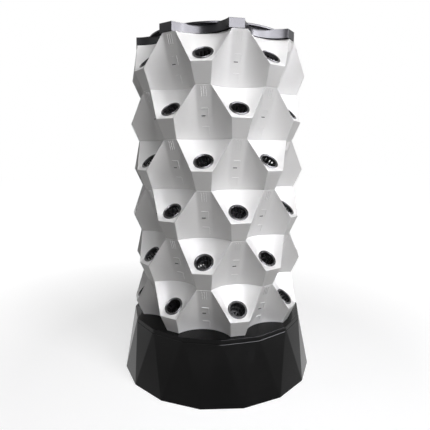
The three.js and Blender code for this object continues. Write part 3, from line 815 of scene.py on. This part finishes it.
def marks_tree(slot_shades):
    """Fine raised lines down the strips, a row of bars and two part frames, or a dark bar under the upper frame,
    which is painted shade for a slot's shaded inside.
    """
    sizes = {"Strips": POCKETS, "Bars": 3, "Bar Pitch": 7.0 * MM, "Bar Length": 27.0 * MM,
             "Line Width": 1.7 * MM, "Relief": 1.5 * MM, "Frame Width": 21.0 * MM,
             "Frame Height": 24.0 * MM, "Slot Shade Width": 12.0 * MM, "Slot Shade Height": 2.2 * MM}
    for label, drop in MARK_DROPS.items():
        for word, value in zip(("Reach", "Level", "Lean"), strip_place(drop)):
            sizes[f"{label} {word}"] = float(value)
    tree, enter, leave = geometry_tree("strip_slots" if slot_shades else "strip_marks", sizes)
    thick = times(tree, enter["Relief"], 2.0)

    def placed(label, *parts):
        shift = vector_of(tree, y=times(tree, enter[label + " Reach"], -1.0), z=enter[label + " Level"])
        return moved(tree, gathered(tree, *parts), shift, vector_of(tree, x=enter[label + " Lean"]))

    def half_of(name):
        return times(tree, enter[name], 0.5)
    first = vector_of(tree, x=times(tree, enter["Bar Pitch"], -1.0))
    points = flow(tree, "GeometryNodeMeshLine", Count=enter["Bars"], Start_Location=first,
                  Offset=vector_of(tree, x=enter["Bar Pitch"]))
    bars = flow(tree, "GeometryNodeInstanceOnPoints", Points=points,
                Instance=bar(tree, enter["Line Width"], thick, enter["Bar Length"]))
    top = moved(tree, bar(tree, enter["Frame Width"], thick, enter["Line Width"]),
                vector_of(tree, z=half_of("Frame Height")))
    side = moved(tree, bar(tree, enter["Line Width"], thick, enter["Frame Height"]),
                 vector_of(tree, x=half_of("Frame Width")))
    # A dark raised bar, not a cut: painted shade for the shaded inside of a slot under the upper frame.
    slot = moved(tree, bar(tree, enter["Slot Shade Width"], thick, enter["Slot Shade Height"]),
                 vector_of(tree, x=times(tree, half_of("Slot Shade Width"), SLOT_SHADE_ASIDE),
                           z=times(tree, half_of("Frame Height"), SLOT_SHADE_DOWN)))
    lines = placed("Bars", bars), placed("Upper", top, side), placed("Lower", top, side)
    strip = placed("Upper", slot) if slot_shades else gathered(tree, *lines)
    finish_tree(tree, leave, ringed(tree, strip, enter["Strips"], HALF), CUP if slot_shades else WHITE)
    return tree


# Tiers and cups in their places

def make_tiers():
    shell = made("shell", tier_bmesh(), WHITE)
    lugs = made("lugs", lug_bmesh(TAB_REACH, WALL, LUG_WIDTH, LUGS), WHITE)
    marks = grown(blank("marks"), marks_tree(False))
    # Dark bars in the cups' plastic, one on each strip: painted shade for the slots' shaded insides.
    slot_shades = grown(blank("slot_shades"), marks_tree(True))
    model = joined("tier_shell", [shell, lugs, marks])
    for number in range(1, TIERS + 1):
        body, place = f"tier_{number}", tier_place(number)
        worn(copied(model, body + "_shell", place), body, "white_shell", body)
        worn(copied(slot_shades, body + "_slots", place), body, "cup")
    for obj in (model, slot_shades):
        bpy.data.objects.remove(obj)


def make_cups():
    tree = cup_tree()
    rings = made("cup_rings", cup_rings(), CUP, weighted=False)
    for number in range(1, TIERS + 1):
        alone = number == TIERS
        for first in range(POCKETS if alone else 1):
            name = f"net_cup_{number}_{first + 1}_slotted" if alone else f"net_cups_{number}_slotted"
            cup = copied(rings, name, Matrix.Identity(4))
            grown(cup, tree, Cups=1 if alone else POCKETS, First_Angle=first * SECTOR)
            cup.data.transform(tier_place(number))
            if alone:
                worn(cup, f"cup_{number}_{first + 1}", "cup", f"net_cup_{number}_{first + 1}")
            else:
                worn(cup, f"tier_{number}", "cup")
    bpy.data.objects.remove(rings)


# Lid

def lid_outline(inset, height):
    return Seam(LID_TAB, LID_TAB_WIDTH, LID_VALLEY, inset).ring(height, LID_ARC_STEPS)


def make_lid():
    skirt = Skin()
    ceiling = LID_HEIGHT - LID_PLATE_THICK
    skirt.grid([lid_outline(0, 0), lid_outline(0, LID_HEIGHT)], 1, closed=True)
    skirt.cap(lid_outline(0, LID_HEIGHT), 2)
    skirt.grid([lid_outline(LID_WALL, 0), lid_outline(LID_WALL, ceiling)], 3, closed=True)
    skirt.cap(lid_outline(LID_WALL, ceiling), 4)
    skirt.grid([lid_outline(0, 0), lid_outline(LID_WALL, 0)], 5, closed=True)
    bm = skirt.bmesh()
    rounded_edges(bm, LID_ROUND, lambda e: between_patches(bm)(e) or sharper_than(LID_FOLD)(e))
    skirt = made("lid_skirt", bm, LID_BLACK, weighted=False)
    plate = Skin()
    top = LID_HEIGHT + LID_CROWN
    profile = [(0, ceiling), (LID_PLATE - 1, ceiling), (LID_PLATE - 0.3, ceiling + 0.3), (LID_PLATE, ceiling + 1),
               (LID_PLATE, top - 1.6), (LID_PLATE - 0.5, top - 0.5), (LID_PLATE - 1.8, top),
               (LID_PLATE - 12, top), (LID_PLATE - 14, top - 1.2), (LID_PLATE - 40, top - 1.0),
               (0, top - 0.4)]
    plate.turned(profile, LID_SIDES)
    skirt = rounded(united(skirt, made("lid_plate", plate.bmesh(), LID_BLACK, weighted=False)), 0)
    lugs = made("lid_lugs", lug_bmesh(LID_TAB, LID_WALL, LID_LUG_WIDTH, POCKETS), LID_BLACK)
    lid = joined("lid_shell", [skirt, lugs])
    lid.data.transform(shift_by(z=STACK_TOP) @ turn_by(LID_TWIST))
    worn(lid, "lid", "black_shell", "lid")


# Tank and deck

def antiprism(inset, low, high):
    """The sixteen-sided body, closed, between two heights of its full form."""
    corner = 2 * pi / SIDES
    rings = [[point_at((i + shift) * corner, radius - inset, 0, z) for i in range(SIDES)]
             for radius, shift, z in ((BASE_FOOT, 0, 0), (BASE_RIM, 0.5, BASE_HEIGHT))]
    bm = bmesh.new()
    lower, upper = ([bm.verts.new([v * MM for v in p]) for p in ring] for ring in rings)
    for i in range(SIDES):
        k = (i + 1) % SIDES
        bm.faces.new((lower[i], lower[k], upper[i]))
        bm.faces.new((lower[k], upper[k], upper[i]))
    bm.faces.new(lower[::-1])
    bm.faces.new(upper)
    bmesh.ops.recalc_face_normals(bm, faces=bm.faces)
    for height, normal in ((low, (0, 0, -1)), (high, (0, 0, 1))):
        if 0 < height < BASE_HEIGHT:
            cut = bmesh.ops.bisect_plane(bm, geom=bm.verts[:] + bm.edges[:] + bm.faces[:], dist=1e-7,
                                         plane_co=(0, 0, height * MM), plane_no=normal, clear_outer=True)
            edges = [e for e in cut["geom_cut"] if isinstance(e, bmesh.types.BMEdge)]
            bmesh.ops.contextual_create(bm, geom=edges)
    bmesh.ops.recalc_face_normals(bm, faces=bm.faces)
    return bm


def base_block(name, inset, low, high):
    return made(name, antiprism(inset, low, high), BLACK, weighted=False)


def make_tank():
    tank = base_block("tank_shell", 0, 0, DECK_BOTTOM - SEAT_GAP)
    inside = base_block("inside", TANK_WALL, TANK_FLOOR, BASE_HEIGHT)
    tank = rounded(cut_by(tank, inside), TANK_ROUND, FACET_FOLD)
    worn(tank, "base", "black_shell", "tank")


def deck_recess():
    """The lowest tier's outline, with its play, as a cutter."""
    skin = Skin()
    rings = []
    for height in RECESS_LEVELS:
        row = recess_row(1 - height / HEIGHT, -RECESS_CLEARANCE)
        ring = []
        for pocket in range(POCKETS):
            angle = pocket * SECTOR
            ring += [point_at(angle + HALF, r, s, height + DECK_BOTTOM + RECESS_FLOOR) for r, s in row]
        rings.append(ring)
    skin.loft(rings)
    return made("recess", skin.bmesh(), BLACK, weighted=False)


def make_deck():
    deck = base_block("deck_shell", 0, DECK_BOTTOM, BASE_HEIGHT)
    lip = base_block("lip", RIM_LIP_WIDTH, DECK_TOP, BASE_HEIGHT)
    lip_top = (DECK_TOP + BASE_HEIGHT) / 2 * MM
    for vertex in lip.data.vertices:
        if vertex.co.z > lip_top:
            vertex.co.z += PAST * MM
    deck = cut_by(deck, lip, deck_recess())
    deck = rounded(cut_by(deck, *deck_holes()), DECK_ROUND, FACET_FOLD)
    hub_top = DECK_BOTTOM + RECESS_FLOOR + HUB_RISE
    hub = turned_part("hub", [(HUB_BORE, DECK_BOTTOM), (HUB_BORE + HUB_WALL, DECK_BOTTOM),
                              (HUB_BORE + HUB_WALL, hub_top), (HUB_BORE, hub_top)], BLACK, sides=64)
    inset = TANK_WALL + REGISTER_CLEARANCE
    register = made("register", antiprism(inset, DECK_BOTTOM - REGISTER_DROP, DECK_BOTTOM + 1), BLACK)
    foot = DECK_BOTTOM - REGISTER_DROP - PAST
    inside = made("inside", antiprism(inset + REGISTER_WALL, foot, DECK_BOTTOM + PAST), BLACK)
    deck = joined("deck_shell", [deck, hub, rounded(cut_by(register, inside), REGISTER_ROUND, FACET_FOLD)])
    worn(deck, "deck", "black_shell", "deck")


def plain_rod(name, radius, low, high, sides=64, matrix=Matrix.Identity(4)):
    skin = Skin()
    skin.loft([[(radius * cos(2 * pi * i / sides), radius * sin(2 * pi * i / sides), z) for i in range(sides)]
               for z in (low, high)])
    rod = made(name, skin.bmesh(), BLACK, weighted=False)
    rod.data.transform(matrix)
    return rod


def at_angle(angle, reach):
    """Moves what is made about the tower's axis out to a place on the deck."""
    return shift_by(*point_at(angle, reach, 0, 0)) @ turn_by(angle)


def deck_holes():
    low, high = DECK_BOTTOM - PAST, DECK_BOTTOM + RECESS_FLOOR + PAST
    holes = [plain_rod("hub_hole", HUB_BORE, low, high + HUB_RISE),
             plain_rod("cable_hole", GROMMET_BODY + SEAT_GAP, low, BASE_HEIGHT + 6,
                       matrix=at_angle(GROMMET_ANGLE, GROMMET_REACH))]
    for i in range(POCKETS):
        holes.append(plain_rod("return_hole", RETURN_HOLE, low, high,
                               matrix=at_angle((i * 2 + 1) * HALF, RETURN_REACH)))
    swept = LUG_WALL + LUG_DROP * recess_lean()
    reach = TAB_REACH - WALL - LUG_CLEARANCE - swept / 2
    size = (LUG_WIDTH + LUG_CLEARANCE * 2, swept + LUG_CLEARANCE * 2, high - low)
    for i in range(LUGS):
        slot = block("lug_slot", size, (0, 0, (low + high) / 2), BLACK, 0)
        slot.data.transform(at_angle(i * 2 * pi / LUGS, reach))
        holes.append(slot)
    return holes


def make_grommet():
    low, high = DECK_BOTTOM - SEAT_GAP, DECK_TOP + SEAT_GAP
    body, lip, flange = GROMMET_BODY, GROMMET_BODY + GROMMET_LIP, GROMMET_BODY + GROMMET_FLANGE
    grommet = turned_part("grommet_ring", [
        (GROMMET_BORE, low - GROMMET_RISE), (lip, low - GROMMET_RISE), (lip, low), (body, low), (body, high),
        (flange, high), (flange, high + GROMMET_RISE), (GROMMET_BORE, high + GROMMET_RISE)], RUBBER, 0.9)
    grommet.data.transform(at_angle(GROMMET_ANGLE, GROMMET_REACH))
    worn(grommet, "deck", "rubber", "cable_grommet")


# Pump

def bar_tree():
    """Bars set round Z: grip ribs, blades."""
    tree, enter, leave = geometry_tree("ring_of_bars", {
        "Count": BLADES, "Radius": BLADE_REACH / 2 * MM, "Level": 0.0, "Depth": BLADE_REACH * MM,
        "Width": BLADE_THICKNESS * MM, "Length": BLADE_LENGTH * MM})
    one = moved(tree, bar(tree, enter["Depth"], enter["Width"], enter["Length"]),
                vector_of(tree, x=enter["Radius"], z=enter["Level"]))
    finish_tree(tree, leave, gathered(tree, ringed(tree, one, enter["Count"]), enter["Geometry"]), SPRAY)
    return tree


def along_x(height=PUMP_MIDDLE):
    return shift_by(z=height) @ Matrix.Rotation(pi / 2, 4, "Y")


def bar_outline(half_y, half_z, corner, x):
    """A rounded rectangle square to X, as points about the pump's axis."""
    points = []
    for turn, (y, z) in enumerate(((1, 1), (-1, 1), (-1, -1), (1, -1))):
        for i in range(CORNER_STEPS + 1):
            a = (turn + i / CORNER_STEPS) * pi / 2
            points.append((x, y * (half_y - corner) + corner * cos(a), z * (half_z - corner) + corner * sin(a)))
    return points


def rounded_bar(name, stations, half_y, half_z, corner, finish, y=0.0):
    """A bar along X through pairs of a place and how far its skin draws in there."""
    skin = Skin()
    skin.loft([bar_outline(half_y - draw, half_z - draw, max(corner - draw, 0.5), x) for x, draw in stations])
    part = made(name, skin.bmesh(), finish)
    part.data.transform(shift_by(y=y, z=PUMP_MIDDLE))
    return part


def make_pump():
    half_y, half_z = PUMP_WIDTH / 2, PUMP_HEIGHT / 2
    grooves = []
    for i in range(GROOVES):
        x = PUMP_BACK + GROOVE_START + i * GROOVE_PITCH
        grooves += [(x, 0), (x + 0.8, GROOVE_DEPTH), (x + 2.4, GROOVE_DEPTH), (x + 3.2, 0)]
    body = rounded_bar("pump_case", [(PUMP_BACK, 2.4), (PUMP_BACK + 0.8, 0.8), (PUMP_BACK + 2.6, 0)] + grooves
                       + [(PUMP_FRONT - 0.8, 0), (PUMP_FRONT, 0.8)], half_y, half_z, PUMP_CORNER, PUMP)
    top = PUMP_MIDDLE + half_z
    outlet = turned_part("outlet", [
        (0, PUMP_MIDDLE), (OUTLET, PUMP_MIDDLE), (OUTLET, top + 6), (OUTLET - 0.9, top + 7), (OUTLET - 0.9, top + 9),
        (OUTLET, top + 10), (OUTLET, OUTLET_TOP), (0, OUTLET_TOP)], PUMP, 0.7)
    body = united(body, outlet)
    front = PUMP_FRONT + PAST
    body = cut_by(body, plain_rod("chamber", CHAMBER, PUMP_FRONT - CHAMBER_DEPTH, front, matrix=along_x()),
                  plain_rod("bearing", SHAFT_BORE, SHAFT_BACK, front, 24, along_x()),
                  plain_rod("bore", OUTLET_BORE, PUMP_MIDDLE, OUTLET_TOP + PAST, 48))
    worn(body, "base", "pump", "pump_body")
    hub_low = PUMP_FRONT - CHAMBER_DEPTH + (CHAMBER_DEPTH - BLADE_LENGTH) / 2
    hub_high = hub_low + BLADE_LENGTH
    hub = turned_part("hub", [(0, SHAFT_BACK + 0.5), (SHAFT, SHAFT_BACK + 0.5), (SHAFT, hub_low), (6, hub_low),
                              (6, hub_high - 2), (3.4, hub_high), (0, hub_high)], PIPE, 0.5, 32)
    wheel = grown(hub, BAR_TREE, Level=(hub_low + hub_high) / 2 * MM)
    wheel.data.transform(along_x())
    wheel.name = wheel.data.name = "impeller_wheel"
    worn(wheel, "impeller", "white_plastic", "pump_impeller")
    low = PUMP_FRONT + SEAT_GAP
    cover = turned_part("intake_ring", [
        (INTAKE, low), (COVER, low), (COVER, low + COVER_THICK), (INTAKE + 4, low + COVER_THICK),
        (INTAKE + 3, low + 2), (INTAKE, low + 2)], PUMP, 0.5)
    cover.data.transform(along_x())
    worn(cover, "base", "pump", "pump_intake_cover")


def make_strainer():
    low = PUMP_FRONT + SEAT_GAP
    high = low + STRAINER_DEPTH
    half_y, half_z = PUMP_WIDTH / 2, PUMP_HEIGHT / 2
    cage = rounded_bar("strainer_cage", [(low, 0.5), (low + 0.8, 0), (high - 2.6, 0), (high - 0.8, 0.8), (high, 2.4)],
                       half_y, half_z, PUMP_CORNER, SPRAY)
    wall = STRAINER_WALL
    cutters = [rounded_bar("inside", [(low - PAST, 0), (high - wall, 0)], half_y - wall, half_z - wall,
                           PUMP_CORNER - wall, SPRAY)]
    for i in range(SLOTS):
        y = (i - (SLOTS - 1) / 2) * SLOT_PITCH
        cutters.append(rounded_bar("slot", [(high - wall - 2, 0), (high + 2, 0)], SLOT_WIDTH / 2, SLOT_HEIGHT / 2,
                                   SLOT_WIDTH / 2 - 0.01, SPRAY, y))
    worn(cut_by(cage, *cutters), "strainer", "grey_plastic", "pump_strainer")


def make_feet():
    bottom, top = FEET_BOTTOM, FEET_BOTTOM + FOOT_HEIGHT
    parts = [block("tie", (FRAME_WIDTH, FOOT_Y * 2, FRAME_THICK), (FEET_MIDDLE, 0, top - FRAME_THICK / 2), RUBBER)]
    for y in (-FOOT_Y, FOOT_Y):
        parts.append(block("rail", (FOOT_X * 2, FRAME_WIDTH, FRAME_THICK),
                           (FEET_MIDDLE, y, top - FRAME_THICK / 2), RUBBER))
        for x in (-FOOT_X, FOOT_X):
            foot = turned_part("foot", [(0, bottom + 1.6), (FOOT_PAD - 3, bottom + 1), (FOOT_PAD - 0.8, bottom),
                                        (FOOT_PAD, bottom + 0.6), (9.4, bottom + 3.4), (7, bottom + 5.4),
                                        (FOOT_TOP, bottom + 6.6), (FOOT_TOP, top), (0, top)], RUBBER, 0.4, 36)
            foot.data.transform(shift_by(FEET_MIDDLE + x, y))
            parts.append(foot)
    worn(joined("suction_feet", parts), "base", "rubber", "pump_feet")


# Riser and spray head

def make_riser():
    low = OUTLET_TOP + SEAT_GAP
    pipe = turned_part("riser_tube", [(PIPE_BORE, low), (PIPE_RADIUS, low), (PIPE_RADIUS, PIPE_TOP),
                                      (PIPE_BORE, PIPE_TOP)], PIPE, 0.8)
    worn(pipe, "base", "white_plastic", "riser_pipe")
    grip, foot, head = PIPE_RADIUS + SEAT_GAP, OUTLET_TOP - SOCKET_HALF, OUTLET_TOP + SOCKET_HALF
    socket = turned_part("socket_sleeve", [(grip, foot), (SOCKET, foot), (SOCKET, foot + 5), (SOCKET - 0.8, foot + 6),
                                           (SOCKET - 0.8, head - 6), (SOCKET, head - 5), (SOCKET, head),
                                           (grip, head)], PIPE, 0.6)
    worn(socket, "base", "white_plastic", "riser_socket")
    foot, chamber = PIPE_TOP - NOZZLE_GRIP, PIPE_TOP + NOZZLE_CHAMBER
    top, waist = chamber + NOZZLE_TOP, PIPE_TOP - 3
    nozzle = turned_part("nozzle_cap", [
        (grip, foot), (NOZZLE, foot), (NOZZLE, waist - 2), (NOZZLE - 0.8, waist - 1), (NOZZLE - 0.8, waist + 1),
        (NOZZLE, waist + 2), (NOZZLE, top), (STEM + 0.5, top), (STEM + 0.5, chamber), (PIPE_BORE, chamber),
        (PIPE_BORE, PIPE_TOP + SEAT_GAP), (grip, PIPE_TOP + SEAT_GAP)], SPRAY, 0.5)
    jets = []
    for i in range(JETS):
        outwards = turn_by(i * 2 * pi / JETS) @ along_x(PIPE_TOP + NOZZLE_CHAMBER / 2)
        jets.append(plain_rod("jet", JET, 0, NOZZLE + PAST, 24, outwards))
    nozzle = grown(cut_by(nozzle, *jets), BAR_TREE, Count=GRIP_RIBS, Radius=(NOZZLE - 0.5) * MM,
                   Level=(foot + 6) * MM, Depth=1.0 * MM, Width=1.2 * MM, Length=7.5 * MM)
    worn(nozzle, "base", "grey_plastic", "spray_nozzle")
    low = top + SEAT_GAP
    high = low + DEFLECTOR_THICK
    disc = turned_part("deflector_disc", [
        (0, low - NOZZLE_TOP), (STEM, low - NOZZLE_TOP), (STEM, low), (DEFLECTOR - 8, low), (DEFLECTOR, low + 0.6),
        (DEFLECTOR, high - 0.8), (DEFLECTOR - 8, high - 0.4), (DEFLECTOR - 10, high), (32, high), (31, high - 0.8),
        (29, high - 0.8), (28, high), (0, high)], SPRAY, 0.4, 96)
    worn(disc, "base", "grey_plastic", "spray_deflector")


# Stage

def seen_rays(tree):
    """Camera rays, and those that gloss and glass send on."""
    path = tree.nodes.new("ShaderNodeLightPath").outputs
    sent_on = maths(tree, "MAXIMUM", path["Is Glossy Ray"], path["Is Transmission Ray"])
    return maths(tree, "MAXIMUM", path["Is Camera Ray"], sent_on)


def make_floor_material():
    """Pale, and white where it is looked at, with the object's shadow near it."""
    material = bpy.data.materials.new("pale_floor")
    material.use_nodes = True
    tree = material.node_tree
    tree.nodes.clear()
    place = node(tree, "ShaderNodeTexCoord").outputs["Object"]
    away = node(tree, "ShaderNodeVectorMath", place, operation="LENGTH").outputs["Value"]
    lit = flow(tree, "ShaderNodeBsdfDiffuse", Color=(*FLOOR_BOUNCE, 1))
    pale = flow(tree, "ShaderNodeBsdfDiffuse", Color=(*[FLOOR_SEEN] * 3, 1))
    glow = flow(tree, "ShaderNodeEmission", Strength=spread(tree, away, *FLOOR_FADE, FLOOR_GLOW, 1.0))
    seen = flow(tree, "ShaderNodeAddShader", pale, glow)
    mix = flow(tree, "ShaderNodeMixShader", seen_rays(tree), lit, seen)
    node(tree, "ShaderNodeOutputMaterial", Surface=mix)
    return material


def make_stage():
    bm = bmesh.new()
    bmesh.ops.create_grid(bm, x_segments=1, y_segments=1, size=FLOOR_HALF)
    mesh = bpy.data.meshes.new("floor")
    bm.to_mesh(mesh)
    bm.free()
    mesh.materials.append(make_floor_material())
    shown("floor", mesh)


def make_world():
    """White where it is looked at; only the lamps light the object."""
    world = bpy.data.worlds.new("studio")
    bpy.context.scene.world = world
    world.use_nodes = True
    tree = world.node_tree
    background = tree.nodes["Background"]
    background.inputs["Color"].default_value = (1, 1, 1, 1)
    tree.links.new(seen_rays(tree), background.inputs["Strength"])


def lamp_place(azimuth, elevation):
    a, e = radians(azimuth), radians(elevation)
    return tuple(c + LAMP_REACH * d for c, d in
                 zip(LAMP_AIM, (sin(a) * cos(e), -cos(a) * cos(e), sin(e))))


def softbox(name, place, aim, size, power, colour):
    lamp = bpy.data.lights.new(name, "AREA")
    lamp.shape = "RECTANGLE"
    lamp.size, lamp.size_y = size
    lamp.energy = power
    lamp.color = colour
    obj = shown(name, lamp)
    obj.location = place
    obj.rotation_euler = (Vector(aim) - Vector(place)).to_track_quat("-Z", "Y").to_euler()
    return obj


def make_lamps():
    for name, azimuth, elevation, power in LAMPS:
        place = lamp_place(azimuth, elevation)
        softbox(name, place, LAMP_AIM, (LAMP_SIZE, LAMP_SIZE), power, LAMP_TINT)
    for azimuth, width in GLEAMS:
        place, power = lamp_place(azimuth, GLEAM_ELEVATION), width * GLEAM_HEIGHT * GLEAM_POWER
        gleam = softbox("gleam", place, GLEAM_AIM, (width, GLEAM_HEIGHT), power, GLEAM_TINT)
        gleam.visible_diffuse = False


def make_camera():
    camera = bpy.data.cameras.new("camera")
    camera.sensor_width = SENSOR
    camera.lens = SENSOR * LENS_PER_WIDTH
    camera.clip_end = 100
    obj = shown("camera", camera)
    obj.location = CAMERA_PLACE
    obj.rotation_euler = (pi / 2 - CAMERA_FALL, 0, -CAMERA_TURN)
    bpy.context.scene.camera = obj


make_camera()
make_tiers()
make_cups()
make_lid()
make_tank()
make_deck()
make_grommet()
BAR_TREE = bar_tree()
make_pump()
make_strainer()
make_feet()
make_riser()
make_stage()
make_world()
make_lamps()
bpy.context.scene.view_settings.view_transform = "Standard"
